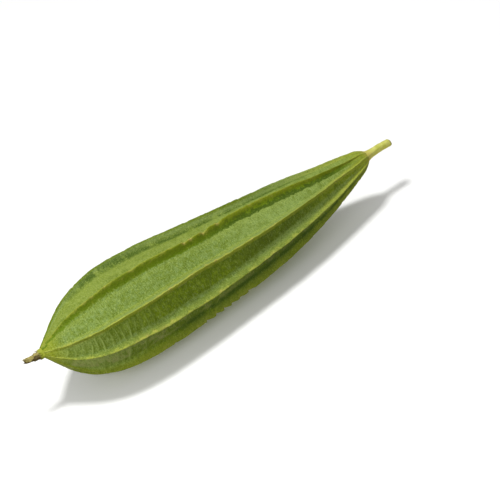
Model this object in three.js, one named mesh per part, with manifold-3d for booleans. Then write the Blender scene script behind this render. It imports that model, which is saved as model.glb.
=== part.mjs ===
// A ridge gourd (Luffa acutangula) as picked: a club-shaped fruit with ten sharp ridges, the cut stub of its
// stem at the thin end, and the withered remains of its flower at the thick end. It lies on two of its ridges.
// Millimetres, +Z up. +X runs from the blossom end to the stem end, and the origin is under the middle of the
// whole gourd, on the surface that it lies on.
import * as THREE from "three";
import { mergeVertices } from "three/addons/utils/BufferGeometryUtils.js";
import Module from "manifold-3d";

const wasm = await Module();
wasm.setup();

// ---- The fruit ----

const FRUIT_LENGTH = 245;

// [share of the length from the blossom end, radius to the ridges' crests]
const GIRTH = [
  [0, 3.3], [0.012, 6.8], [0.03, 11.6], [0.06, 18.8], [0.1, 25.7], [0.15, 30.3], [0.21, 32.8],
  [0.28, 33.1], [0.38, 31.9], [0.5, 29.5], [0.62, 26.7], [0.74, 22.2], [0.84, 16.6], [0.92, 11.5],
  [0.97, 7.8], [0.99, 5.6], [1, 3.4],
];

// [share of the length, height of the fruit's centre line above the surface]
const SPINE = [
  [0, 39.5], [0.05, 33.4], [0.12, 30.9], [0.22, 30.8], [0.36, 29.75], [0.5, 27.6], [0.65, 27.0],
  [0.8, 28.7], [0.9, 31.1], [1, 34.0],
];

// Where the ten ridges run: their places round the fruit at these shares of its length, in degrees, counted
// from the -Y side up over the top.
const STATIONS = [0, 0.15, 0.3, 0.45, 0.6, 0.75, 0.9, 1];
const RIDGES = [
  [86, 78, 77, 78.5, 85.5, 83.5, 73.5, 68],
  [39.5, 38, 37.5, 40.5, 40.5, 42, 43, 41],
  [4, 6, 3.5, 4, 7, 7.5, 5, 3],
  [-33.5, -34, -34, -32, -28, -28, -32, -33],
  [-71.5, -71.5, -72.5, -72.5, -71.5, -71.5, -72, -72.5],
  [-108, -108.5, -108, -107.5, -108, -108.5, -108, -107.5],
  [-139.5, -140.5, -142, -141.5, -140, -140.5, -142.5, -143],
  [-174, -173, -171.5, -172, -174, -173.5, -172, -171.5],
  [-205, -205.5, -204.5, -203, -204, -206, -207, -206],
  [-242, -239, -238.5, -240.5, -242.5, -243.5, -247, -249],
];

// The hollows between the ridges, as a share of the radius: shallow in the neck, deep along the body.
const HOLLOW = [[0, 0.04], [0.03, 0.09], [0.12, 0.16], [0.3, 0.18], [0.75, 0.18], [0.93, 0.15], [1, 0.05]];
// A ridge is a blunt fin: its flanks fall steeply to a hollow's gently dished floor.
const CREST_EDGE = 0.02; // half of a crest's blunt edge, as a share of the way to the next crest
const FLANK_SHARE = 0.85; // how much of a hollow's depth its flanks take
const FLANK_POWER = 8; // how closely the flanks keep to the crests

const RINGS = 52;
const END_CROWDING = 0.5; // 0 spaces the rings evenly, 1 crowds them towards both ends
// Where the points of a ring lie, from the edge of one crest to the edge of the next.
const ACROSS_HOLLOW = [0, 0.05, 0.12, 0.22, 0.4, 0.6, 0.78, 0.88, 0.95, 1];

// ---- The stem stub ----

const STEM_LENGTH = 18.7;
const STEM_RADIUS = 2.65;
const STEM_FOOT_RADIUS = 3.6;
const STEM_FLARE = 0.2; // how far up the stub the flare of its foot fades, as a share of its length
const STEM_FURROWS = 5;
const STEM_FURROW_DEPTH = 0.08; // as a share of the radius
const STEM_CUT_SLANT = 0.25; // how far the cut leans back over the stub, as a share of its height

// ---- The withered flower ----

const REMNANT_LENGTH = 12;
const REMNANT_FOOT_RADIUS = 2.7;
const REMNANT_END_RADIUS = 1.1;
const REMNANT_TWIST = 1.6; // radians from end to end
const SEPALS = 5;
const FRAYED_ENDS = 4;

const JOINT_GAP = 0.3; // between the fruit and what grows from it

const X = (share) => (share - 0.5) * FRUIT_LENGTH;

// A smooth curve through [place, value] pairs.
function along(pairs, place) {
  let i = 0;
  while (i < pairs.length - 2 && place > pairs[i + 1][0]) i++;
  const slopeAt = (k) => {
    const [a, b] = [pairs[Math.max(k - 1, 0)], pairs[Math.min(k + 1, pairs.length - 1)]];
    return (b[1] - a[1]) / (b[0] - a[0]);
  };
  const [x0, y0] = pairs[i];
  const [x1, y1] = pairs[i + 1];
  const step = x1 - x0;
  const u = THREE.MathUtils.clamp((place - x0) / step, 0, 1);
  const rise = (2 * u - 3) * u * u;
  return (
    y0 * (1 + rise) - y1 * rise + step * u * (1 - u) * (slopeAt(i) * (1 - u) - slopeAt(i + 1) * u)
  );
}

// A closed skin over rings of equally many points, with a fan over each end.
function loft(rings) {
  const sides = rings[0].length;
  const points = rings.flat();
  const faces = [];
  for (let i = 0; i + 1 < rings.length; i++) {
    for (let j = 0; j < sides; j++) {
      const k = (j + 1) % sides;
      const [a, b, c, d] = [i * sides + j, i * sides + k, (i + 1) * sides + k, (i + 1) * sides + j];
      faces.push(a, b, c, a, c, d);
    }
  }
  const centreOf = (ring) => ring.reduce((sum, p) => sum.add(p), new THREE.Vector3()).divideScalar(sides);
  const first = points.push(centreOf(rings[0])) - 1;
  const last = points.push(centreOf(rings.at(-1))) - 1;
  const start = (rings.length - 1) * sides;
  for (let j = 0; j < sides; j++) {
    const k = (j + 1) % sides;
    faces.push(first, k, j);
    faces.push(last, start + j, start + k);
  }
  const geometry = new THREE.BufferGeometry().setFromPoints(points);
  geometry.setIndex(faces);
  return geometry;
}

// The direction of a ridge at a share of the length, in radians.
function ridgeAngle(ridge, share) {
  return THREE.MathUtils.degToRad(along(ridge.map((angle, k) => [STATIONS[k], angle]), share));
}

// How deep a hollow is at a place across it, from 0 at a crest's edge to 1 half way to the next.
function hollowShape(across) {
  const fromMiddle = Math.abs(2 * across - 1);
  return 1 - (1 - FLANK_SHARE) * fromMiddle ** 2 - FLANK_SHARE * fromMiddle ** FLANK_POWER;
}

function fruitRing(share) {
  const radius = along(GIRTH, share);
  const height = along(SPINE, share);
  const depth = along(HOLLOW, share);
  const ring = [];
  RIDGES.forEach((ridge, i) => {
    const from = ridgeAngle(ridge, share);
    let to = ridgeAngle(RIDGES[(i + 1) % RIDGES.length], share);
    if (i === RIDGES.length - 1) to -= 2 * Math.PI;
    for (const across of ACROSS_HOLLOW) {
      const angle = THREE.MathUtils.lerp(from, to, CREST_EDGE + (1 - 2 * CREST_EDGE) * across);
      const r = radius * (1 - depth * hollowShape(across));
      // The ridges that the fruit lies on are pressed flat where they touch the surface.
      const z = Math.max(height + r * Math.sin(angle), 0);
      ring.push(new THREE.Vector3(X(share), -r * Math.cos(angle), z));
    }
  });
  return ring;
}

function makeFruit() {
  const rings = [];
  for (let i = 0; i <= RINGS; i++) {
    const even = i / RINGS;
    const crowded = (1 - Math.cos(Math.PI * even)) / 2;
    rings.push(fruitRing(THREE.MathUtils.lerp(even, crowded, END_CROWDING)));
  }
  return loft(rings);
}

// A closed skin round a path, with its radius at a share of the path and a direction round it.
function sweep(path, steps, sides, radiusAt, shapeEnd = () => {}) {
  const { normals, binormals } = path.computeFrenetFrames(steps);
  const rings = normals.map((normal, i) => {
    const centre = path.getPointAt(i / steps);
    return Array.from({ length: sides }, (_, j) => {
      const angle = (2 * Math.PI * j) / sides;
      const r = radiusAt(i / steps, angle);
      const point = centre.clone().addScaledVector(normal, r * Math.cos(angle));
      return point.addScaledVector(binormals[i], r * Math.sin(angle));
    });
  });
  shapeEnd(rings.at(-1), path.getPointAt(1));
  return loft(rings);
}

// The stub of the stem: five shallow furrows, a flared foot against the fruit, and a slanting cut.
function makeStem() {
  const foot = new THREE.Vector3(X(1) + JOINT_GAP, 0, along(SPINE, 1));
  const beyond = (x, y, z) => foot.clone().add(new THREE.Vector3(x * STEM_LENGTH, y, z));
  const bends = [beyond(0.3, 0, 0), beyond(0.65, 0.3, 0.7), beyond(1, 0.2, 0)];
  const path = new THREE.CubicBezierCurve3(foot, ...bends);
  const radiusAt = (u, angle) => {
    const radius = STEM_RADIUS + (STEM_FOOT_RADIUS - STEM_RADIUS) * Math.exp(-u / STEM_FLARE);
    return radius * (1 - STEM_FURROW_DEPTH * (0.5 - 0.5 * Math.cos(STEM_FURROWS * angle)));
  };
  return sweep(path, 12, 20, radiusAt, (ring, centre) => {
    for (const point of ring) point.x -= STEM_CUT_SLANT * (point.z - centre.z);
  });
}

// A closed mesh as a solid that can be joined to others, and back.
function solidOf(geometry) {
  const merged = mergeVertices(geometry, 1e-4);
  return new wasm.Manifold(
    new wasm.Mesh({
      numProp: 3,
      vertProperties: merged.attributes.position.array,
      triVerts: new Uint32Array(merged.index.array),
    }),
  );
}

function geometryOf(solid) {
  const mesh = solid.getMesh();
  const geometry = new THREE.BufferGeometry();
  geometry.setAttribute("position", new THREE.BufferAttribute(mesh.vertProperties, 3));
  geometry.setIndex(new THREE.BufferAttribute(mesh.triVerts, 1));
  return geometry;
}

// A thin strand that tapers along a bent line.
function strand(points, startRadius, endRadius) {
  const path = new THREE.CatmullRomCurve3(points);
  return solidOf(sweep(path, 5, 6, (u) => THREE.MathUtils.lerp(startRadius, endRadius, u)));
}

// What is left of the flower: a shrunken, twisted stub, dry sepals pressed round its foot, and frayed ends.
function makeRemnant() {
  const foot = new THREE.Vector3(X(0) - JOINT_GAP, 0, along(SPINE, 0));
  const around = (share, radius, angle) => {
    const [y, z] = [radius * Math.cos(angle), radius * Math.sin(angle)];
    return foot.clone().add(new THREE.Vector3(-share * REMNANT_LENGTH, y, z));
  };
  const stub = new THREE.CatmullRomCurve3([foot, around(0.4, 0, 0), around(0.85, 0.8, 1.3)]);
  let solid = solidOf(
    sweep(stub, 10, 14, (u, angle) => {
      const lobes = 1 + 0.2 * Math.cos(3 * angle + REMNANT_TWIST * u);
      return THREE.MathUtils.lerp(REMNANT_FOOT_RADIUS, REMNANT_END_RADIUS, u) * lobes;
    }),
  );
  for (let k = 0; k < SEPALS; k++) {
    const angle = (2 * Math.PI * (k + 0.3)) / SEPALS;
    const reach = 0.3 + 0.06 * (k % 3);
    const line = [around(0.1, 1.3, angle), around(0.2, 2.4, angle + 0.2), around(reach, 2.6, angle + 0.5)];
    solid = solid.add(strand(line, 0.9, 0.35));
  }
  for (let k = 0; k < FRAYED_ENDS; k++) {
    const angle = (2 * Math.PI * k) / FRAYED_ENDS + 0.5;
    const reach = 1 - 0.09 * (k % 3);
    const line = [around(0.55, 0.6, angle), around(0.75, 1.2, angle + 0.5), around(reach, 1.5, angle + 0.9)];
    solid = solid.add(strand(line, 0.8, 0.35));
  }
  return geometryOf(solid);
}

const RIND = new THREE.MeshStandardMaterial({ color: 0x7d9748, roughness: 0.55, metalness: 0 });
const STEM_SKIN = new THREE.MeshStandardMaterial({ color: 0xbcb957, roughness: 0.6, metalness: 0 });
const DRY = new THREE.MeshStandardMaterial({ color: 0x8a7a3c, roughness: 0.85, metalness: 0 });

function named(name, geometry, material) {
  geometry.computeVertexNormals();
  const mesh = new THREE.Mesh(geometry, material);
  mesh.name = name;
  return mesh;
}

const gourd = new THREE.Group();
gourd.add(
  named("fruit", makeFruit(), RIND),
  named("stem", makeStem(), STEM_SKIN),
  named("flower_remnant", makeRemnant(), DRY),
);

// The origin goes under the middle of the gourd's length and width.
const middle = new THREE.Box3().setFromObject(gourd).getCenter(new THREE.Vector3());
gourd.position.set(-middle.x, -middle.y, 0);

export default gourd;
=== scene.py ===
"""A ridge gourd, whole and just picked: the green fruit with its ten sharp ridges, the cut stub of its stem
and the withered flower at the other end. It lies on a pale floor under soft studio light. Metres, +X towards
the stem, +Z up."""
import math
import random

import bpy
from mathutils import Matrix, Vector, geometry, noise


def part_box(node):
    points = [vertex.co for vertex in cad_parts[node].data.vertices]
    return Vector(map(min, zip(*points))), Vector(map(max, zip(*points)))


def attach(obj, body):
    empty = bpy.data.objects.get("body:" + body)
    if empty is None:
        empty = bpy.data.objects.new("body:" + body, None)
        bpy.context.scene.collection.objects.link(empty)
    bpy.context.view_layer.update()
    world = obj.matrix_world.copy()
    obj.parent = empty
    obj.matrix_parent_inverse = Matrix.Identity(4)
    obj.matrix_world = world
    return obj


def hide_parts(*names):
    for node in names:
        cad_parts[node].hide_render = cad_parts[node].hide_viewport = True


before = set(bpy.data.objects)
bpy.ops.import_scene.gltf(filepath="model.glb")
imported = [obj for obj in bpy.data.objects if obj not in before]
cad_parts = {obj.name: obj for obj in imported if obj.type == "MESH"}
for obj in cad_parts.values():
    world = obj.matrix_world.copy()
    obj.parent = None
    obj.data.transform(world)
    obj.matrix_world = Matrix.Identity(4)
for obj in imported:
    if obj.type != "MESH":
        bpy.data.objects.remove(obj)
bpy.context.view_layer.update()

# ---- The fruit ----
# One grown body of rind and flesh: a club, thick at the flower's end, with ten sharp ridges along it. The
# rind is faintly wrinkled in the hollows and tan and torn along the crests; its colours carry painted light,
# a pale sheen where the skin looks up, and painted shade, darker on the ridges' steep flanks and where the
# skin looks down.

MM = 0.001
fruit_low, fruit_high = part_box("fruit")
LENGTH = fruit_high.x - fruit_low.x
SIDE = 0.11 * MM  # how far behind the X axis the fruit's centre line lies
RIDGE_COUNT = 10
COLUMNS_PER_RIDGE = 24
COLUMNS = RIDGE_COUNT * COLUMNS_PER_RIDGE
RINGS = 400
FIRST_PARTS = 4  # the length is cut into these first, since one subdivision makes 100 cuts at most
END_CROWDING = 0.3  # 0 spaces the rings evenly, 1 crowds them towards both ends
CREST_CROWDING = 0.75  # the same for the columns, towards the crests

# [share of the length from the flower's end, radius to the crests]
GIRTH = [
    (0, 0.0039), (0.012, 0.0070), (0.03, 0.0117), (0.06, 0.0188), (0.1, 0.0257), (0.15, 0.0303),
    (0.21, 0.0328), (0.28, 0.0331), (0.38, 0.0319), (0.5, 0.0295), (0.62, 0.0267), (0.74, 0.0222),
    (0.84, 0.0166), (0.92, 0.0116), (0.97, 0.0081), (0.99, 0.0054), (1, 0.0034),
]
# [share of the length, height of the centre line above the floor]
SPINE = [
    (0, 0.0378), (0.05, 0.0330), (0.12, 0.0309), (0.22, 0.0308), (0.36, 0.02975), (0.5, 0.0276),
    (0.65, 0.0270), (0.8, 0.0287), (0.9, 0.0311), (1, 0.0340),
]
# [share of the length, depth of the hollows as a share of the radius]
HOLLOW = [(0, 0.04), (0.03, 0.09), (0.12, 0.16), (0.3, 0.18), (0.75, 0.18), (0.93, 0.15), (1, 0.05)]
# A ridge is a blunt fin: its flanks fall steeply to the hollow's gently dished floor.
CREST_EDGE = 0.02  # half of a crest's blunt edge, as a share of the way to the next crest
FLANK_SHARE = 0.85  # how much of a hollow's depth its flanks take
FLANK_POWER = 8  # how closely the flanks keep to the crests

# Where the ten ridges run: their places round the fruit at these shares of its length, in degrees, counted
# from the near side up over the top. Hollow 0 lies between ridges 0 and 1, and hollow 9 between 9 and 0.
STATIONS = [0, 0.15, 0.3, 0.45, 0.6, 0.75, 0.9, 1]
RIDGES = [
    [86, 78, 77, 78.5, 85.5, 82.5, 72, 67],
    [39, 37, 36.2, 39.3, 39.2, 40, 39.5, 38],
    [3.5, 5, 2, 2.6, 5.6, 5.2, 1.5, 0],
    [-33.5, -34, -34, -32, -28, -28, -32, -33],
    [-71.5, -71.5, -72.5, -72.5, -71.5, -71.5, -72, -72.5],
    [-108, -108.5, -108, -107.5, -108, -108.5, -108, -107.5],
    [-139.5, -140.5, -142, -141.5, -140, -140.5, -142.5, -143],
    [-174, -173, -171.5, -172, -174, -173.5, -172, -171.5],
    [-205, -205.5, -204.5, -203, -204, -206, -207, -206],
    [-242, -239, -238.5, -240.5, -242.5, -243.5, -247, -249],
]

# A band of painted shade, deeper green, lies below the first ridge. [share of the length, width of the band]
SHADE_BAND = [
    (0, 2.5 * MM), (0.3, 3.1 * MM), (0.45, 3.7 * MM), (0.6, 5.2 * MM),
    (0.75, 5.3 * MM), (0.9, 3.8 * MM), (1, 2.4 * MM),
]
OFF_SHADE_BAND = -1.5 * MM  # given as its width where there is no band

# Where a flank meets the floor of its hollow, painted shade darkens the fold along two of the hollows. For
# each of these:
# [share of the length, place across the hollow], the fold's width to either side as shares of the hollow, and
# the shares of the length where it starts, is full and begins to fade.
FOLDS = {
    2: ([(0, 0.8), (0.25, 0.84), (0.4, 0.78), (0.65, 0.68), (1, 0.68)], (0.15, 0.3), (0.23, 0.37, 1)),
    9: ([(0, 0.05), (0.25, 0.085), (0.4, 0.15), (0.65, 0.19), (1, 0.24)], (0.095, 0.095), (0.04, 0.2, 0.72)),
}
FOLD_FADE = 0.16  # share of the length over which a fold fades

# The skin leans over where it climbs to a crest. Nearness is 0 in the middle of a hollow and 1 at a crest.
FLANK_LEAN = math.radians(58)
LEAN_START = 0.55  # the nearness from which the skin leans
LEAN_FULL = 0.85
# The same start for the flanks that look up, on the gourd's sides. [share of the length, nearness]
UPPER_LEAN_START = [(0, 0.25), (0.45, 0.22), (0.65, -0.1), (0.85, -0.45), (1, -0.5)]

# How far each of the ten crests is rubbed pale, 0 to 1, which also sets the painted light beside it, and how
# much of that is lost towards the thin end.
CREST_WEAR_AND_LIGHT = [0.55, 0.9, 0.9, 0.26, 0.6, 0.6, 0.8, 0.9, 0.8, 0.0]
WEAR_LOSS = 0.45

BEAD_HEIGHT = 0.35 * MM  # the rounded cord of tan skin along each crest
BEAD_WIDTH = 0.5 * MM
# A crest drifts to either side and wavers in height, by sums of waves: (strength, length, seed).
CREST_DRIFT = 0.6 * MM
DRIFT_WAVES = [(1, 22 * MM, 0), (0.5, 5 * MM, 8), (0.3, 1.7 * MM, 13)]
CREST_WAVER = 0.25 * MM
CREST_SINK = 0.6  # how low it lies on the whole, as a share of its waver
WAVER_WAVES = [(1, 12 * MM, 3), (0.8, 2.1 * MM, 9)]

# Nicks where a crest is rubbed or torn: (ridge, share of the length, depth, run-out). Each drops off steeply
# at the flower's side. Small ones are scattered over all the ridges.
NICKS = [
    (0, 0.421, 1.8 * MM, 5 * MM), (0, 0.442, 1.2 * MM, 3 * MM), (0, 0.480, 2.0 * MM, 6 * MM),
    (0, 0.527, 1.5 * MM, 5 * MM), (1, 0.321, 1.5 * MM, 6 * MM), (1, 0.4615, 1.7 * MM, 4 * MM),
    (2, 0.2175, 0.6 * MM, 3 * MM), (2, 0.438, 0.5 * MM, 2 * MM),
    (3, 0.386, 1.3 * MM, 4 * MM), (3, 0.4165, 1.5 * MM, 4 * MM), (3, 0.441, 1.6 * MM, 4 * MM),
    (3, 0.4655, 1.4 * MM, 4 * MM), (3, 0.492, 1.0 * MM, 3 * MM), (3, 0.52, 1.2 * MM, 5 * MM),
]
NICK_EDGE = 0.5 * MM
TEAR_REACH = 1.3 * MM  # how far the skin is torn to either side of a nick
SMALL_NICKS = 9  # on each ridge
draw = random.Random(11)
for ridge in range(RIDGE_COUNT):
    for _ in range(SMALL_NICKS):
        NICKS.append((ridge, draw.uniform(0.12, 0.9), draw.uniform(0.15, 0.45) * MM, draw.uniform(2, 5) * MM))


def along(pairs, place):
    """A smooth curve through (place, value) pairs."""
    i = 0
    while i < len(pairs) - 2 and place > pairs[i + 1][0]:
        i += 1

    def slope_at(k):
        (xa, ya), (xb, yb) = pairs[max(k - 1, 0)], pairs[min(k + 1, len(pairs) - 1)]
        return (yb - ya) / (xb - xa)

    (x0, y0), (x1, y1) = pairs[i], pairs[i + 1]
    step = x1 - x0
    u = min(max((place - x0) / step, 0), 1)
    rise = (2 * u - 3) * u * u
    bend = slope_at(i) * (1 - u) - slope_at(i + 1) * u
    return y0 * (1 + rise) - y1 * rise + step * u * (1 - u) * bend


def smooth_step(low, high, value):
    """0 at low to 1 at high, eased and clamped."""
    u = min(max((value - low) / (high - low), 0), 1)
    return u * u * (3 - 2 * u)


def wander(waves, x, row):
    """A sum of waves of noise along the gourd. Each row has its own."""
    return sum(strength * noise.noise(Vector((x / length, row, seed))) for strength, length, seed in waves)


def crest_angle(i, share):
    """Where a crest lies round the fruit."""
    route = list(zip(STATIONS, RIDGES[i]))
    drift = CREST_DRIFT * wander(DRIFT_WAVES, share * LENGTH, 3.1 * i)
    return math.radians(along(route, share)) + drift / along(GIRTH, share)


def crest_loss(i, share):
    """How far a crest lies below its full height."""
    x = share * LENGTH
    loss = CREST_WAVER * (CREST_SINK + wander(WAVER_WAVES, x, 5.7 * i))
    for ridge, place, depth, run in NICKS:
        past = x - place * LENGTH
        if ridge == i and -NICK_EDGE < past < run:
            edge = smooth_step(-NICK_EDGE, 0, past)
            loss += depth * edge * (1 - max(past, 0) / run)
    return max(loss, 0)


def torn_edge(i, share):
    """How far the skin of a crest is torn away at a nick's steep side, 0 to 1."""
    tears = [0]
    for ridge, place, depth, _ in NICKS:
        if ridge == i:
            past = (share - place) * LENGTH
            tears.append(min(depth / MM, 1) * math.exp(-((past / TEAR_REACH) ** 2)))
    return max(tears)


# Faint raised lines run across the hollows from ridge to ridge, most of them towards the flower's end.
WRINKLE_STEP = 4.1 * MM
WRINKLE_HEIGHT = 0.2 * MM
WRINKLE_WIDTH = 0.18  # this and the next three are shares of the step
WRINKLE_BOW = 0.25  # how far a line bows towards the stem in the middle of its hollow
WRINKLE_SLANT = 0.3  # how far it slants across the hollow
WRINKLE_WANDER = 0.75  # how far it strays, in waves of the length below
WANDER_LENGTH = 7.5 * MM
WRINKLED = [0.15, 1, 0.5, 0.5, 0.7, 0.7, 0.7, 0.6, 0.4, 0.15]  # how strongly each hollow is wrinkled, 0 to 1
FAINT_WRINKLE = 0.12  # how much of that is left away from the flower's end


def wrinkle(hollow, x, across):
    """The count of wrinkles up to a point of a hollow, a half more on each line, and their strength there."""
    bow = WRINKLE_BOW * (2 * across - 1) ** 2
    stray = WRINKLE_WANDER * noise.noise(Vector((x / WANDER_LENGTH, 4.3 * hollow, 0.5 * across)))
    count = x / WRINKLE_STEP + bow + stray + WRINKLE_SLANT * across
    strength = 0.8 + 0.9 * noise.noise(Vector((7.7 * math.floor(count), 4.3 * hollow, 5 + 1.5 * across)))
    towards_flower = 1 - smooth_step(0.16, 0.34, x / LENGTH)
    clear_of_crests = smooth_step(0.04, 0.2, 1 - across) * smooth_step(0.1, 0.4, across)
    fading = FAINT_WRINKLE + (1 - FAINT_WRINKLE) * towards_flower
    return count, WRINKLED[hollow] * strength * clear_of_crests * fading


def fold_depth(hollow, share, across):
    """How deep a point lies in the painted shade of its hollow's fold, 0 to 1."""
    if hollow not in FOLDS:
        return 0.0
    route, widths, (start, full, fading) = FOLDS[hollow]
    past = across - along(route, share)
    depth = math.exp(-((past / widths[past > 0]) ** 2))
    return depth * smooth_step(start, full, share) * (1 - smooth_step(fading, fading + FOLD_FADE, share))


def facing_up(hollow, near, nearness, angle, share):
    """How far the skin looks up, from -1 to 1, which sets where it is painted lit and where shaded."""
    if near == hollow == RIDGE_COUNT - 1:
        return 1.0  # beside the last ridge it is as pale as on top
    climbs_to_next = near != hollow
    looks_up = climbs_to_next == (math.cos(angle) > 0)
    on_side = smooth_step(0.7, 0.4, math.sin(angle)) * looks_up
    start = LEAN_START + (along(UPPER_LEAN_START, share) - LEAN_START) * on_side
    lean = FLANK_LEAN * smooth_step(start, LEAN_FULL, nearness)
    return math.sin(angle + (lean if climbs_to_next else -lean))


# The share of the length at which each ring lies, and that ring's values.
shares = []
for k in range(RINGS + 1):
    even = k / RINGS
    shares.append((1 - END_CROWDING) * even + END_CROWDING * (1 - math.cos(math.pi * even)) / 2)
girths = [along(GIRTH, share) for share in shares]
heights = [along(SPINE, share) for share in shares]
depths = [along(HOLLOW, share) for share in shares]
angles = [[crest_angle(i, share) for i in range(RIDGE_COUNT)] for share in shares]
losses = [[crest_loss(i, share) for i in range(RIDGE_COUNT)] for share in shares]
tears = [[torn_edge(i, share) for i in range(RIDGE_COUNT)] for share in shares]

# The skin swells softly in large and in small waves, (height, length), and is pebbly round the flower's foot.
SWELLS = [(0.3 * MM, 16 * MM), (0.07 * MM, 3.2 * MM)]
PEBBLE_HEIGHT = 0.22 * MM
PEBBLE_SIZE = 1.3 * MM


def skin_at(k, column):
    """Where the skin lies at ring k and a column, and the values there that its colours follow."""
    share = shares[k]
    place = share * LENGTH
    radius = girths[k]
    i, part = divmod(column, COLUMNS_PER_RIDGE)
    part /= COLUMNS_PER_RIDGE
    across = part - CREST_CROWDING * math.sin(2 * math.pi * part) / (2 * math.pi)
    j = (i + 1) % RIDGE_COUNT
    start, end = angles[k][i], angles[k][j]
    if j == 0:
        end -= 2 * math.pi
    angle = start + (end - start) * across
    near, nearness = (i, 1 - 2 * across) if across < 0.5 else (j, 2 * across - 1)
    crest_distance = (1 - nearness) / 2 * abs(end - start) * radius

    rise = min(nearness / (1 - 2 * CREST_EDGE), 1)
    hollow = 1 - (1 - FLANK_SHARE) * rise**2 - FLANK_SHARE * rise**FLANK_POWER
    bead = math.exp(-((crest_distance / BEAD_WIDTH) ** 2))
    count, strength = wrinkle(i, place, across)
    line = strength * math.exp(-(((count % 1 - 0.5) / WRINKLE_WIDTH) ** 2))
    spot = Vector((place, radius * math.cos(angle), radius * math.sin(angle)))
    swell = sum(height * noise.noise(spot / length) for height, length in SWELLS)
    lift = swell * (1 - nearness**3) + WRINKLE_HEIGHT * line
    lift += BEAD_HEIGHT * (bead - 1) * nearness**2 - losses[k][near] * nearness**6
    grown = smooth_step(0, 0.06, share) * smooth_step(0, 0.05, 1 - share)
    pebbly = smooth_step(0, 0.01, share) * (1 - smooth_step(0.02, 0.07, share))
    pebbles = PEBBLE_HEIGHT * noise.noise(spot / PEBBLE_SIZE) * pebbly
    r = radius * (1 - depths[k] * hollow) + lift * grown + pebbles
    height = max(heights[k] + r * math.sin(angle), 0)

    # The band of painted shade below the first ridge.
    shade_band = along(SHADE_BAND, share) if i == near == 0 else OFF_SHADE_BAND
    values = {
        "from_crest": crest_distance / MM,
        "in_shade_band": (shade_band - crest_distance) / MM,
        "facing_up": facing_up(i, near, nearness, angle, share),
        "fold": fold_depth(i, share, across),
        "wear_and_light": CREST_WEAR_AND_LIGHT[near] * (1 - WEAR_LOSS * smooth_step(0.5, 0.85, share)),
        "torn": tears[k][near],
        "wrinkle_count": count,
        "wrinkle_depth": strength,
        "along_fruit": share,
    }
    return (fruit_low.x + place, SIDE - r * math.cos(angle), height), values


bpy.ops.object.select_all(action="DESELECT")
bpy.ops.mesh.primitive_cylinder_add(
    vertices=COLUMNS,
    radius=along(GIRTH, 0.25),
    depth=LENGTH,
    end_fill_type="TRIFAN",
    location=((fruit_low.x + fruit_high.x) / 2, SIDE, 0),
    rotation=(0, math.pi / 2, 0),
)
fruit = bpy.context.object
fruit.name = fruit.data.name = "gourd_fruit"
bpy.ops.object.transform_apply(location=True, rotation=True, scale=True)
bpy.context.tool_settings.mesh_select_mode = (False, True, False)
for parts in (FIRST_PARTS, RINGS // FIRST_PARTS):
    for vertex in fruit.data.vertices:
        vertex.select = False
    for face in fruit.data.polygons:
        face.select = False
    for edge in fruit.data.edges:
        ends = [fruit.data.vertices[v].co.x for v in edge.vertices]
        edge.select = abs(ends[0] - ends[1]) > 0.01 * MM
    bpy.ops.object.mode_set(mode="EDIT")
    bpy.ops.mesh.subdivide(number_cuts=parts - 1)
    bpy.ops.object.mode_set(mode="OBJECT")

skin = []
for vertex in fruit.data.vertices:
    x, y, z = vertex.co
    k = round((x - fruit_low.x) / LENGTH * RINGS)
    if math.hypot(y - SIDE, z) < 0.001 * MM:
        vertex.co = (fruit_low.x + shares[k] * LENGTH, SIDE, heights[k])
        skin.append({"from_crest": 1.0, "in_shade_band": -1.0, "along_fruit": shares[k]})
        continue
    column = round((math.pi / 2 - math.atan2(z, SIDE - y)) / (2 * math.pi) * COLUMNS) % COLUMNS
    vertex.co, values = skin_at(k, column)
    skin.append(values)
for name in values:  # all of the names, of which the poles have only three
    attribute = fruit.data.attributes.new(name, "FLOAT", "POINT")
    attribute.data.foreach_set("value", [point.get(name, 0.0) for point in skin])
bpy.ops.object.shade_smooth()


def srgb(red, green, blue):
    """A linear colour with full alpha from screen values of 0 to 255."""
    linear = [((c / 255 + 0.055) / 1.055) ** 2.4 if c > 10 else c / 255 / 12.92 for c in (red, green, blue)]
    return (*linear, 1)


class Nodes:
    """A node tree filled by short calls. Each adds a node, sets or links its inputs and gives its output."""

    def __init__(self, tree):
        self.tree = tree

    def add(self, kind, inputs, output=0, **settings):
        node = self.tree.nodes.new(kind)
        for name, value in settings.items():
            setattr(node, name, value)
        for key, value in inputs.items():
            if isinstance(value, bpy.types.NodeSocket):
                self.tree.links.new(value, node.inputs[key])
            else:
                node.inputs[key].default_value = value
        return node.outputs[output]

    def place(self):
        return self.add("ShaderNodeTexCoord", {}, "Object")

    def attribute(self, name):
        return self.add("ShaderNodeAttribute", {}, "Fac", attribute_name=name)

    def math(self, operation, *values):
        return self.add("ShaderNodeMath", dict(enumerate(values)), operation=operation)

    def times(self, first, second):
        return self.math("MULTIPLY", first, second)

    def ramp(self, value, low, high, to_low=0.0, to_high=1.0):
        """What goes from low to high goes from to_low to to_high, eased and clamped."""
        span = {"From Min": low, "From Max": high, "To Min": to_low, "To Max": to_high}
        return self.add("ShaderNodeMapRange", {"Value": value, **span}, interpolation_type="SMOOTHSTEP")

    def mix(self, factor, first, second):
        """One colour to the other. A mix node's colours are its inputs 6 and 7, and its output 2."""
        return self.add("ShaderNodeMix", {0: factor, 6: first, 7: second}, 2, data_type="RGBA")

    def noise(self, vector, scale, detail=2.0, roughness=0.5):
        """Noise with grains of about 1/scale metres."""
        inputs = {"Vector": vector, "Scale": scale, "Detail": detail, "Roughness": roughness}
        return self.add("ShaderNodeTexNoise", inputs)

    def stretched(self, vector, scale):
        """The place scaled along each axis, for noise that is finer one way than another."""
        return self.add("ShaderNodeMapping", {"Vector": vector, "Scale": scale})

    def grain(self, vector, scale):
        """The outputs of the grain group."""
        return self.add("ShaderNodeGroup", {"Place": vector, "Scale": scale}, node_tree=GRAIN).node.outputs


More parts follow.
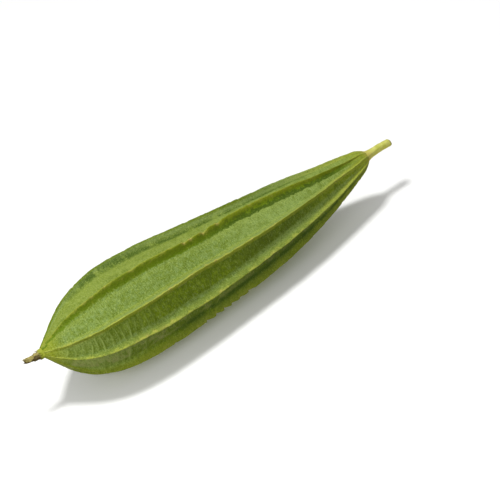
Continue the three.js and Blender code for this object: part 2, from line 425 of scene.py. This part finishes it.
def new_material(name, display):
    """An empty material with a Principled shader. Gives the material, its nodes and the shader."""
    material = bpy.data.materials.new(name)
    material.use_nodes = True
    material.diffuse_color = display
    return material, Nodes(material.node_tree), material.node_tree.nodes["Principled BSDF"]


def finish_material(nodes, shader, colour, roughness, height, strength, distance):
    """Link a material's colour and roughness to its shader, and its height by way of a bump."""
    bump = nodes.tree.nodes.new("ShaderNodeBump")
    bump.inputs["Strength"].default_value = strength
    bump.inputs["Distance"].default_value = distance
    nodes.tree.links.new(height, bump.inputs["Height"])
    nodes.tree.links.new(bump.outputs[0], shader.inputs["Normal"])
    nodes.tree.links.new(colour, shader.inputs["Base Color"])
    nodes.tree.links.new(roughness, shader.inputs["Roughness"])


def make_grain():
    """A node group: fine speckling of a grown skin, as masks of its pale and its dark specks and a height."""
    group = bpy.data.node_groups.new("grain", "ShaderNodeTree")
    group.interface.new_socket("Place", in_out="INPUT", socket_type="NodeSocketVector")
    group.interface.new_socket("Scale", in_out="INPUT", socket_type="NodeSocketFloat")
    for name in ("Pale", "Dark", "Height"):
        group.interface.new_socket(name, in_out="OUTPUT", socket_type="NodeSocketFloat")
    nodes = Nodes(group)
    given = group.nodes.new("NodeGroupInput")
    result = group.nodes.new("NodeGroupOutput")
    place, scale = given.outputs["Place"], given.outputs["Scale"]
    coarse = nodes.noise(place, scale, detail=1, roughness=0.6)
    fine = nodes.noise(place, nodes.times(scale, 2.3), detail=1, roughness=0.6)
    both = nodes.times(nodes.math("ADD", coarse, fine), 0.5)
    group.links.new(nodes.ramp(both, 0.53, 0.68), result.inputs["Pale"])
    group.links.new(nodes.ramp(both, 0.32, 0.47, 1, 0), result.inputs["Dark"])
    group.links.new(both, result.inputs["Height"])
    return group


GRAIN = make_grain()

# The first three greens paint the shade of the skin that looks down; the second also darkens mottles and
# streaks.
RIND_DEEP = srgb(116, 137, 0)
RIND_SHADE = srgb(90, 110, 0)
RIND_DARK = srgb(72, 88, 0)
LIT_SHEEN_PALE = srgb(121, 144, 74)
LIT_SHEEN_GREEN = srgb(105, 127, 40)
LIT_TOP_GREEN = srgb(133, 150, 60)
LIT_MID_GREEN = srgb(141, 162, 82)
LIT_TOP_PALE = srgb(130, 150, 78)
STEM_YELLOW = srgb(158, 168, 60)
FLANK_GREEN = srgb(102, 118, 8)
FLANK_LIT = srgb(113, 130, 48)
CREST_SIDE_LIGHT = srgb(168, 178, 50)
SHADE_BAND_GREEN = srgb(112, 136, 0)
SHADE_BAND_DEEP = srgb(92, 117, 0)
SHADE_BAND_DARK = srgb(62, 86, 0)
SHADE_BAND_OLIVE = srgb(134, 142, 6)
LIT_PALE_GREEN = srgb(131, 151, 66)
STEM_GREEN = srgb(132, 148, 0)
RIM_GREEN = srgb(100, 118, 14)
FOLD_SHADE = srgb(60, 86, 10)
BROWN_GREY = srgb(144, 148, 84)
CREST_PALE = srgb(158, 166, 64)
CREST_TORN = srgb(190, 176, 92)
STREAK_PALE = srgb(150, 170, 96)
WRINKLE_PALE = srgb(148, 168, 84)
NECK_YELLOW = srgb(144, 154, 28)
SHOULDER_TAN = srgb(174, 164, 66)
SPECK_PALE = srgb(166, 180, 92)
PORE_DARK = srgb(66, 86, 4)

rind, nodes, shader = new_material("rind", LIT_SHEEN_PALE)
place = nodes.place()
crest_mm = nodes.attribute("from_crest")
share = nodes.attribute("along_fruit")
facing = nodes.attribute("facing_up")
rubbing_and_light = nodes.attribute("wear_and_light")
# Painted sheen and light where the skin looks up, and near the flower's end.
lit_sheen = nodes.math("MAXIMUM", nodes.ramp(facing, 0.45, 0.8), nodes.ramp(share, 0.06, 0.22, 0.75, 0))
mottle = nodes.noise(place, 150, detail=3, roughness=0.6)
patches = nodes.noise(place, 420, detail=3, roughness=0.6)
streaks = nodes.noise(nodes.stretched(place, (2000, 420, 420)), 1, detail=2, roughness=0.6)
grain = nodes.grain(place, 1250.0)

# The skin of the hollows: painted shade, deep green, where it looks down, and a painted pale sheen and light
# where it looks up.
patchy = nodes.ramp(patches, 0.35, 0.65)
# Painted shade: the shaded skin is darker towards the middle of the length.
mid_length_shade = nodes.times(nodes.ramp(share, 0.46, 0.6), nodes.ramp(share, 0.7, 0.82, 0.75, 0))
shaded = nodes.mix(mid_length_shade, nodes.mix(patchy, RIND_SHADE, RIND_DEEP), RIND_DARK)
lit_skin = nodes.mix(nodes.ramp(facing, 0.86, 1), nodes.mix(patchy, LIT_SHEEN_GREEN, LIT_SHEEN_PALE), LIT_TOP_GREEN)
# Painted light: the lit skin is paler towards the middle of the length.
lit_skin = nodes.mix(nodes.ramp(share, 0.45, 0.65, 0, 0.5), lit_skin, LIT_MID_GREEN)
colour = nodes.mix(lit_sheen, shaded, lit_skin)
# Painted light: the shaded skin is paler towards the flower's end.
flower_end_light = nodes.times(nodes.ramp(share, 0.06, 0.3, 0.9, 0), nodes.ramp(facing, 0.45, 0.8, 1, 0))
flower_end_light = nodes.times(flower_end_light, nodes.ramp(patches, 0.38, 0.62, 0.45, 1.1))
colour = nodes.mix(flower_end_light, colour, LIT_PALE_GREEN)
# Towards the stem the rind's own green, with a painted lit green where it looks up.
near_stem = nodes.mix(lit_sheen, STEM_GREEN, LIT_PALE_GREEN)
colour = nodes.mix(nodes.ramp(share, 0.7, 0.92, 0, 0.85), colour, near_stem)
blotches = nodes.times(nodes.ramp(mottle, 0.38, 0.52, 1, 0), nodes.ramp(lit_sheen, 0, 1, 0.75, 0.35))
colour = nodes.mix(blotches, colour, RIND_SHADE)
underside = nodes.ramp(facing, -0.5, 0.2, 1, 0)
stained = nodes.times(nodes.ramp(mottle, 0.42, 0.56), underside)
stained = nodes.times(stained, nodes.ramp(share, 0.3, 0.5, 1, 0.6))
colour = nodes.mix(stained, colour, BROWN_GREY)
colour = nodes.mix(nodes.ramp(streaks, 0.53, 0.68, 0, 0.5), colour, STREAK_PALE)
colour = nodes.mix(nodes.ramp(streaks, 0.32, 0.46, 0.6, 0), colour, RIND_SHADE)

# The flanks beside the crests, with painted light where they look up.
flank = nodes.mix(nodes.ramp(facing, 0.55, 0.85), FLANK_GREEN, FLANK_LIT)
flank = nodes.mix(nodes.ramp(facing, 0.9, 1.0), flank, LIT_TOP_PALE)
flank = nodes.mix(nodes.ramp(share, 0.7, 0.92, 0, 0.8), flank, STEM_YELLOW)
flank_edge = nodes.math("MULTIPLY_ADD", mottle, 2.0, crest_mm)
colour = nodes.mix(nodes.ramp(flank_edge, 1.8, 3.2), flank, colour)

# The wrinkles, each a pale line with painted shade past it, and the painted shade in the folds.
wrinkled = nodes.attribute("wrinkle_depth")
past_line = nodes.math("SUBTRACT", nodes.math("FRACT", nodes.attribute("wrinkle_count")), 0.5)
line = nodes.ramp(nodes.math("ABSOLUTE", past_line), 0.02, 0.2, 0.75, 0)
# Painted shade on the far side of each wrinkle's pale line.
shade = nodes.math("GREATER_THAN", past_line, 0)
shade = nodes.times(nodes.ramp(past_line, 0.0, 0.5, 1, 0), shade)
colour = nodes.mix(nodes.times(shade, wrinkled), colour, RIND_SHADE)
colour = nodes.mix(nodes.times(line, wrinkled), colour, WRINKLE_PALE)
fold_shade_patches = nodes.noise(nodes.stretched(place, (190, 90, 90)), 1, detail=3, roughness=0.7)
fold = nodes.times(nodes.attribute("fold"), nodes.ramp(fold_shade_patches, 0.35, 0.53, 0.3, 1.1))
colour = nodes.mix(nodes.times(fold, 0.85), colour, FOLD_SHADE)

# Both ends turn yellow, and the shoulder round the stem tan.
ends = nodes.math("ADD", nodes.ramp(share, 0.005, 0.055, 1, 0), nodes.ramp(share, 0.9, 1.0, 0, 1))
colour = nodes.mix(nodes.times(ends, 0.8), colour, NECK_YELLOW)
colour = nodes.mix(nodes.ramp(share, 0.978, 0.998, 0, 0.85), colour, SHOULDER_TAN)

# The band of painted shade below the first ridge: olive at the crest, darker in clumps and at its ragged
# foot.
ragged = nodes.math(
    "ADD", nodes.ramp(patches, 0.35, 0.65, -0.6, 0.6), nodes.ramp(mottle, 0.35, 0.65, -0.6, 0.5)
)
shade_band_mm = nodes.math("ADD", nodes.attribute("in_shade_band"), ragged)
deeper = nodes.math("MAXIMUM", nodes.ramp(share, 0.12, 0.3, 0.8, 0), nodes.ramp(share, 0.3, 0.55, 0, 0.7))
shade_band = nodes.mix(deeper, SHADE_BAND_GREEN, SHADE_BAND_DEEP)
clumps = nodes.times(nodes.ramp(patches, 0.42, 0.56, 1, 0), nodes.ramp(crest_mm, 0.5, 1.6))
shade_band = nodes.mix(clumps, shade_band, SHADE_BAND_DARK)
shade_band = nodes.mix(nodes.ramp(crest_mm, 0.5, 1.6, 0.55, 0), shade_band, SHADE_BAND_OLIVE)
foot = nodes.times(nodes.ramp(share, 0.42, 0.6), nodes.ramp(share, 0.84, 0.95, 1, 0))
foot = nodes.mix(foot, SHADE_BAND_DEEP, SHADE_BAND_DARK)
shade_band = nodes.mix(nodes.ramp(shade_band_mm, 1.9, 3.7), foot, shade_band)
shade_band = nodes.mix(nodes.ramp(streaks, 0.5, 0.7, 0, 0.4), shade_band, FLANK_GREEN)
on_shade_band = nodes.times(nodes.ramp(shade_band_mm, -0.4, 0.6), nodes.ramp(share, 0.9, 0.98, 1, 0))
colour = nodes.mix(on_shade_band, colour, shade_band)

# Painted light along the shaded side of a rubbed crest. One that isn't rubbed has a green rim.
painted_crest_light = nodes.times(nodes.ramp(crest_mm, 0.7, 3.1, 1, 0), nodes.ramp(lit_sheen, 0, 1, 1, 0))
painted_crest_light = nodes.times(painted_crest_light, rubbing_and_light)
painted_crest_light = nodes.times(painted_crest_light, nodes.ramp(shade_band_mm, -0.2, 0.4, 1, 0.3))
colour = nodes.mix(painted_crest_light, colour, CREST_SIDE_LIGHT)
rim = nodes.times(nodes.ramp(crest_mm, 0.4, 1.1, 1, 0), nodes.ramp(rubbing_and_light, 0, 0.1, 1, 0))
rim = nodes.times(rim, nodes.ramp(share, 0.6, 0.8, 1, 0))
colour = nodes.mix(rim, colour, RIM_GREEN)

# The crests' tan skin, uneven in width and colour, and pale where it is torn.
crest_breaks = nodes.noise(place, 260, detail=4, roughness=0.75)
crest_width = nodes.ramp(crest_breaks, 0.35, 0.65, 0.25, 2.1)
crest = nodes.ramp(nodes.math("DIVIDE", crest_mm, crest_width), 0.2, 0.8, 1, 0)
dried_skin = nodes.ramp(crest_breaks, 0.56, 0.7)
dried_skin = nodes.times(dried_skin, nodes.ramp(share, 0.12, 0.35, 0.2, 1))
dried_skin = nodes.times(dried_skin, nodes.ramp(share, 0.6, 0.85, 1, 0))
rubbed = nodes.times(rubbing_and_light, nodes.ramp(mottle, 0.4, 0.56, 0.25, 1.1))
crest = nodes.times(crest, rubbed)
colour = nodes.mix(crest, colour, nodes.mix(dried_skin, CREST_PALE, CREST_TORN))
tear = nodes.times(nodes.attribute("torn"), nodes.ramp(crest_mm, 0.4, 1.1, 0.8, 0))
tear = nodes.times(tear, nodes.ramp(rubbing_and_light, 0.2, 0.5, 0.1, 1))
colour = nodes.mix(tear, colour, CREST_TORN)

# Pale specks and dark pores over all of it.
specks = nodes.times(grain["Pale"], nodes.ramp(lit_sheen, 0, 1, 0.4, 0.7))
specks = nodes.times(specks, nodes.ramp(shade_band_mm, -0.2, 0.8, 1, 0.45))
colour = nodes.mix(specks, colour, SPECK_PALE)
colour = nodes.mix(nodes.times(grain["Dark"], 0.75), colour, PORE_DARK)
roughness = nodes.ramp(grain["Height"], 0.3, 0.7, 0.44, 0.56)
height = nodes.times(nodes.math("ADD", grain["Height"], streaks), 0.8)
finish_material(nodes, shader, colour, roughness, height, strength=1.0, distance=0.6 * MM)
shader.inputs["Specular IOR Level"].default_value = 0.14
fruit.data.materials.clear()
fruit.data.materials.append(rind)

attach(fruit, "root")
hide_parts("fruit")

# ---- The stem ----
# The stub that the fruit hung by, cut through a finger's width above it. It is a fibrous, furrowed green
# stalk, with a flared foot grown into the fruit's shoulder, and the end where it was cut has dried brown.

stem_low, stem_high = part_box("stem")
STEM_SUNK = 1.2 * MM  # how far its foot is sunk into the fruit's end
STEM_SPARE = 0.3 * MM  # how much longer it is, as its end is rounded off
STEM_FOOT = Vector((stem_low.x - STEM_SUNK, SIDE, along(SPINE, 1)))
STEM_LENGTH = stem_high.x - STEM_FOOT.x + STEM_SPARE
STEM_RADIUS = 2.65 * MM
STEM_FOOT_RADIUS = 4.0 * MM
FLARE = 0.13  # share of the length over which the foot narrows
STEM_SIDES = 60
STEM_STEPS = 40
FURROWS = 5
FURROW_DEPTH = 0.055  # as a share of the radius
FIBRES = 13
FIBRE_DEPTH = 0.02
KNOT_HEIGHT = 0.05
KNOT_SIZE = 3 * MM
CUT_SLANT = 0.08
ROUNDED_FROM = 0.94  # share of the length from which the end is rounded off
ROUNDING = 0.45


def grow(name, path, radii, sides):
    """A round shoot: a disc set across the start of a path, then extruded and resized from point to point."""
    step = path[1] - path[0]
    pitch = math.atan2(step.z, math.hypot(step.x, step.y))
    yaw = math.atan2(step.y, step.x)
    bpy.ops.object.select_all(action="DESELECT")
    bpy.ops.mesh.primitive_circle_add(
        vertices=sides,
        radius=radii[0],
        fill_type="NGON",
        location=path[0],
        rotation=(0, math.pi / 2 - pitch, yaw),
    )
    shoot = bpy.context.object
    shoot.name = shoot.data.name = name
    bpy.ops.object.transform_apply(location=True, rotation=True, scale=True)
    bpy.ops.object.mode_set(mode="EDIT")
    bpy.ops.mesh.select_all(action="SELECT")
    for k in range(1, len(path)):
        bpy.ops.mesh.extrude_region_move(TRANSFORM_OT_translate={"value": path[k] - path[k - 1]})
        size = radii[k] / radii[k - 1]
        bpy.ops.transform.resize(value=(size, size, size), center_override=path[k])
    bpy.ops.object.mode_set(mode="OBJECT")
    return shoot


def turn_outwards():
    """Turn all faces of the active object outwards."""
    bpy.ops.object.mode_set(mode="EDIT")
    bpy.ops.mesh.select_all(action="SELECT")
    bpy.ops.mesh.normals_make_consistent(inside=False)
    bpy.ops.object.mode_set(mode="OBJECT")


stem_path = geometry.interpolate_bezier(
    STEM_FOOT,
    STEM_FOOT + Vector((0.3 * STEM_LENGTH, 0, 0)),
    STEM_FOOT + Vector((0.65 * STEM_LENGTH, 0.3 * MM, 0.4 * MM)),
    STEM_FOOT + Vector((STEM_LENGTH, 0.2 * MM, -0.6 * MM)),
    STEM_STEPS + 1,
)
stem_radii = []
for k in range(STEM_STEPS + 1):
    u = k / STEM_STEPS
    rounding = math.sqrt(1 - ROUNDING * max((u - ROUNDED_FROM) / (1 - ROUNDED_FROM), 0) ** 2)
    flare = (STEM_FOOT_RADIUS - STEM_RADIUS) * math.exp(-u / FLARE)
    stem_radii.append(rounding * (STEM_RADIUS + flare))
stem = grow("gourd_stem", stem_path, stem_radii, STEM_SIDES)
along_stem = []
stem_facings = []
for vertex in stem.data.vertices:
    u = min(max((vertex.co.x - STEM_FOOT.x) / STEM_LENGTH, 0), 1)
    centre = stem_path[round(u * STEM_STEPS)]
    offset = Vector((0, vertex.co.y - centre.y, vertex.co.z - centre.z))
    angle = math.atan2(offset.z, offset.y) + 0.5 * u
    furrow = FURROW_DEPTH * (0.5 - 0.5 * math.cos(FURROWS * angle))
    fibre = FIBRE_DEPTH * math.cos(FIBRES * angle + 2 * u)
    knot = KNOT_HEIGHT * noise.noise(vertex.co / KNOT_SIZE)
    vertex.co += offset * (knot - furrow - fibre)
    vertex.co.x -= CUT_SLANT * offset.z * smooth_step(0.9, 1, u)
    along_stem.append(u)
    stem_facings.append(math.sin(math.atan2(offset.z, abs(offset.y))))
stem.data.attributes.new("along_stem", "FLOAT", "POINT").data.foreach_set("value", along_stem)
stem.data.attributes.new("facing_up", "FLOAT", "POINT").data.foreach_set("value", stem_facings)
turn_outwards()
bpy.ops.object.shade_smooth()

STALK_PALE = srgb(206, 204, 112)
STALK_GREEN = srgb(178, 180, 70)
FOOT_TAN = srgb(192, 180, 88)
STALK_UNDERLIT = srgb(232, 224, 96)
CUT_BROWN = srgb(140, 120, 60)

stalk, nodes, shader = new_material("stem_skin", STALK_PALE)
place = nodes.place()
share = nodes.attribute("along_stem")
fibres = nodes.noise(nodes.stretched(place, (120, 1500, 1500)), 1, detail=3, roughness=0.6)
blotches = nodes.noise(place, 300)
colour = nodes.mix(nodes.ramp(blotches, 0.35, 0.65), STALK_GREEN, STALK_PALE)
colour = nodes.mix(nodes.ramp(fibres, 0.4, 0.65, 0.4, 0), colour, STALK_GREEN)
colour = nodes.mix(nodes.ramp(share, 0.08, 0.28, 0.8, 0), colour, FOOT_TAN)
grain = nodes.grain(place, 1600.0)
colour = nodes.mix(nodes.times(grain["Dark"], 0.4), colour, STALK_GREEN)
# Painted light: the stalk is paler towards its underside.
colour = nodes.mix(nodes.ramp(nodes.attribute("facing_up"), -0.7, 0.6, 0.9, 0), colour, STALK_UNDERLIT)
colour = nodes.mix(nodes.ramp(share, 0.92, 0.98, 0, 0.7), colour, CUT_BROWN)
roughness = nodes.ramp(fibres, 0.2, 0.8, 0.5, 0.7)
finish_material(nodes, shader, colour, roughness, fibres, strength=0.5, distance=0.2 * MM)
stem.data.materials.append(stalk)

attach(stem, "root")
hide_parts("stem")

# ---- The withered flower ----
# What is left of the blossom at the other end: its tube, shrunk to a twisted, papery stub, dry sepals pressed
# round the foot of it, and a few frayed ends of petal.

dry_low, dry_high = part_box("flower_remnant")
DRY_SUNK = 1.0 * MM  # how far its foot is sunk into the fruit's end
DRY_FOOT = Vector((dry_high.x + DRY_SUNK, SIDE, along(SPINE, 0)))
DRY_LENGTH = DRY_FOOT.x - dry_low.x
DRY_BEND = 1.6 * MM  # how far the tip is bent up
STUB_RADIUS = 2.6 * MM
STUB_TAPER = 1.5 * MM  # how much thinner it is at the tip
STUB_FLARE = 1.3 * MM  # how much wider it is at the foot
STUB_FLARE_SHARE = 0.14
STUB_STEPS = 24
STUB_SIDES = 36
# Twisted ribs round the tube: (depth as a share of the radius, count, how far they turn along it).
TWISTS = [(0.16, 3, 2.5), (0.1, 7, -4)]
CRUMPLE = 0.3
CRUMPLE_SIZE = 1.2 * MM
# The sepals and the frayed ends take these reaches in turn, as shares of the remnant's length.
SEPALS = 5
SEPAL_REACHES = [0.34, 0.4, 0.46]
FRAYED_ENDS = 6
FRAYED_REACHES = [1.06, 0.99, 0.92]
draw = random.Random(5)


def around(part, radius, angle):
    """A point at a share of the remnant's length, off its axis."""
    rise = DRY_BEND * part**2 + radius * math.sin(angle)
    return DRY_FOOT + Vector((-part * DRY_LENGTH, -radius * math.cos(angle), rise))


def strand(name, points, start, end, sides, steps):
    """A thin shoot along a bent line of three points, from its radius at the start to that at the end."""
    first, middle, last = points
    path, radii = [], []
    for k in range(steps + 1):
        u = k / steps
        path.append(first * (1 - u) ** 2 + (2 * middle - (first + last) / 2) * 2 * u * (1 - u) + last * u**2)
        radii.append(start + (end - start) * u)
    return grow(name, path, radii, sides)


def dry_share(point):
    """How far along the remnant a point lies."""
    return min(max((DRY_FOOT.x - point.x) / DRY_LENGTH, 0), 1)


stub_path, stub_radii = [], []
for k in range(STUB_STEPS + 1):
    u = k / STUB_STEPS
    stub_path.append(around(u, 0, 0))
    stub_radii.append(STUB_RADIUS - STUB_TAPER * u + STUB_FLARE * math.exp(-u / STUB_FLARE_SHARE))
shoots = [grow("dried_flower", stub_path, stub_radii, STUB_SIDES)]
for vertex in shoots[0].data.vertices:
    u = dry_share(vertex.co)
    centre = stub_path[round(u * STUB_STEPS)]
    offset = Vector((0, vertex.co.y - centre.y, vertex.co.z - centre.z))
    angle = math.atan2(offset.z, -offset.y)
    twist = sum(depth * math.cos(ribs * angle + turn * u) for depth, ribs, turn in TWISTS)
    crumple = CRUMPLE * noise.noise(vertex.co / CRUMPLE_SIZE)
    vertex.co += offset * (twist + crumple) * smooth_step(0, 0.15, u)
for k in range(SEPALS):
    angle = 2 * math.pi * (k + 0.3) / SEPALS
    reach = SEPAL_REACHES[k % len(SEPAL_REACHES)]
    line = [
        around(0.1, 1.6 * MM, angle),
        around(0.2, 2.9 * MM, angle + 0.2),
        around(reach, 3.0 * MM, angle + 0.5),
    ]
    shoots.append(strand("sepal", line, start=0.85 * MM, end=0.25 * MM, sides=8, steps=8))
for k in range(FRAYED_ENDS):
    angle = 2 * math.pi * k / FRAYED_ENDS + 0.5
    reach = FRAYED_REACHES[k % len(FRAYED_REACHES)]
    line = [
        around(0.5, 0.8 * MM, angle),
        around(0.75, draw.uniform(1.0, 1.5) * MM, angle + 0.5),
        around(reach, draw.uniform(1.0, 1.9) * MM, angle + draw.uniform(0.6, 1.2)),
    ]
    shoots.append(strand("frayed_end", line, start=0.7 * MM, end=0.2 * MM, sides=8, steps=10))
bpy.ops.object.select_all(action="DESELECT")
for shoot in shoots:
    shoot.select_set(True)
bpy.context.view_layer.objects.active = shoots[0]
bpy.ops.object.join()
dried = bpy.context.object
turn_outwards()
bpy.ops.object.shade_smooth()

along_dry = []
above_axis = []
for vertex in dried.data.vertices:
    u = dry_share(vertex.co)
    centre = stub_path[round(u * STUB_STEPS)]
    along_dry.append(u)
    above_axis.append((vertex.co.z - centre.z) / (2 * MM))
dried.data.attributes.new("along_dry", "FLOAT", "POINT").data.foreach_set("value", along_dry)
dried.data.attributes.new("above_axis", "FLOAT", "POINT").data.foreach_set("value", above_axis)

DRY_TAN = srgb(164, 152, 86)
DRY_BROWN = srgb(74, 60, 8)

dry, nodes, shader = new_material("dry_flower", DRY_TAN)
place = nodes.place()
patches = nodes.noise(place, 330, detail=3, roughness=0.6)
creases = nodes.noise(nodes.stretched(place, (300, 1400, 1400)), 1, detail=3, roughness=0.6)
share = nodes.attribute("along_dry")
# Painted light and shade: the remnant is paler on its upper side and browner below.
pale = nodes.math("MULTIPLY_ADD", nodes.math("SUBTRACT", patches, 0.5), 5.0, nodes.attribute("above_axis"))
pale = nodes.math("MULTIPLY_ADD", nodes.ramp(share, 0.4, 0.75), 0.6, pale)
colour = nodes.mix(nodes.ramp(pale, 0.4, 1.0), DRY_BROWN, DRY_TAN)
grain = nodes.grain(place, 1900.0)
colour = nodes.mix(nodes.times(grain["Dark"], 0.6), colour, DRY_BROWN)
colour = nodes.mix(nodes.ramp(creases, 0.35, 0.5, 0.6, 0), colour, DRY_BROWN)
colour = nodes.mix(nodes.ramp(share, 0.18, 0.32, 0.9, 0), colour, NECK_YELLOW)
roughness = nodes.ramp(creases, 0.2, 0.8, 0.7, 0.9)
finish_material(nodes, shader, colour, roughness, creases, strength=0.7, distance=0.3 * MM)
dried.data.materials.append(dry)

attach(dried, "root")
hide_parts("flower_remnant")

# ---- Floor, light and camera ----
# A pale paper floor under a soft lamp above and a weak one in front, with white all round. The camera looks
# down on the near side from the flower's end, and is turned so that the gourd seems to rise to the right.

bpy.ops.mesh.primitive_plane_add(size=8)
floor = bpy.context.object
floor.name = "floor"
paper, nodes, shader = new_material("paper", (0.9, 0.9, 0.9, 1))
shader.inputs["Base Color"].default_value = (0.92, 0.92, 0.91, 1)
shader.inputs["Roughness"].default_value = 0.9
floor.data.materials.append(paper)
floor.visible_glossy = False
floor.visible_diffuse = False  # it throws no light back, so the gourd's underside stays dark

world = bpy.data.worlds.new("studio")
world.use_nodes = True
world.node_tree.nodes["Background"].inputs["Color"].default_value = (1, 1, 1, 1)
world.node_tree.nodes["Background"].inputs["Strength"].default_value = 0.42
bpy.context.scene.world = world


def soft_light(name, place, aim, size, power):
    """A square lamp of a size in metres and a power in watts, turned to what it lights."""
    lamp = bpy.data.lights.new(name, "AREA")
    lamp.size = size
    lamp.energy = power
    light = bpy.data.objects.new(name, lamp)
    light.location = place
    light.rotation_euler = (Vector(aim) - Vector(place)).to_track_quat("-Z", "Y").to_euler()
    bpy.context.scene.collection.objects.link(light)


soft_light("key", place=(-0.1, 0.14, 1.35), aim=(0, 0, 0), size=0.25, power=14)
soft_light("fill", place=(-0.32, -0.26, 0.24), aim=(-0.03, 0, 0.02), size=0.25, power=0.8)

ELEVATION = math.radians(38)
AZIMUTH = math.radians(-25.7)
ROLL = math.radians(-15.8)
DISTANCE = 1.0
FOCAL_LENGTH = 3.208  # in widths of the camera's sensor
AIM_AHEAD = 0.025  # how far past the fruit's middle the camera looks, towards the stem
AIM_HEIGHT = 0.0196
aim = Vector(((fruit_low.x + fruit_high.x) / 2 + AIM_AHEAD, 0, AIM_HEIGHT))
back = Vector((
    math.sin(AZIMUTH) * math.cos(ELEVATION),
    -math.cos(AZIMUTH) * math.cos(ELEVATION),
    math.sin(ELEVATION),
))
camera_data = bpy.data.cameras.new("camera")
camera_data.lens = FOCAL_LENGTH * camera_data.sensor_width
camera = bpy.data.objects.new("camera", camera_data)
level = back.to_track_quat("Z", "Y").to_matrix().to_4x4()
camera.matrix_world = Matrix.Translation(aim + DISTANCE * back) @ level @ Matrix.Rotation(ROLL, 4, "Z")
bpy.context.scene.collection.objects.link(camera)
bpy.context.scene.camera = camera
bpy.context.scene.view_settings.view_transform = "Standard"
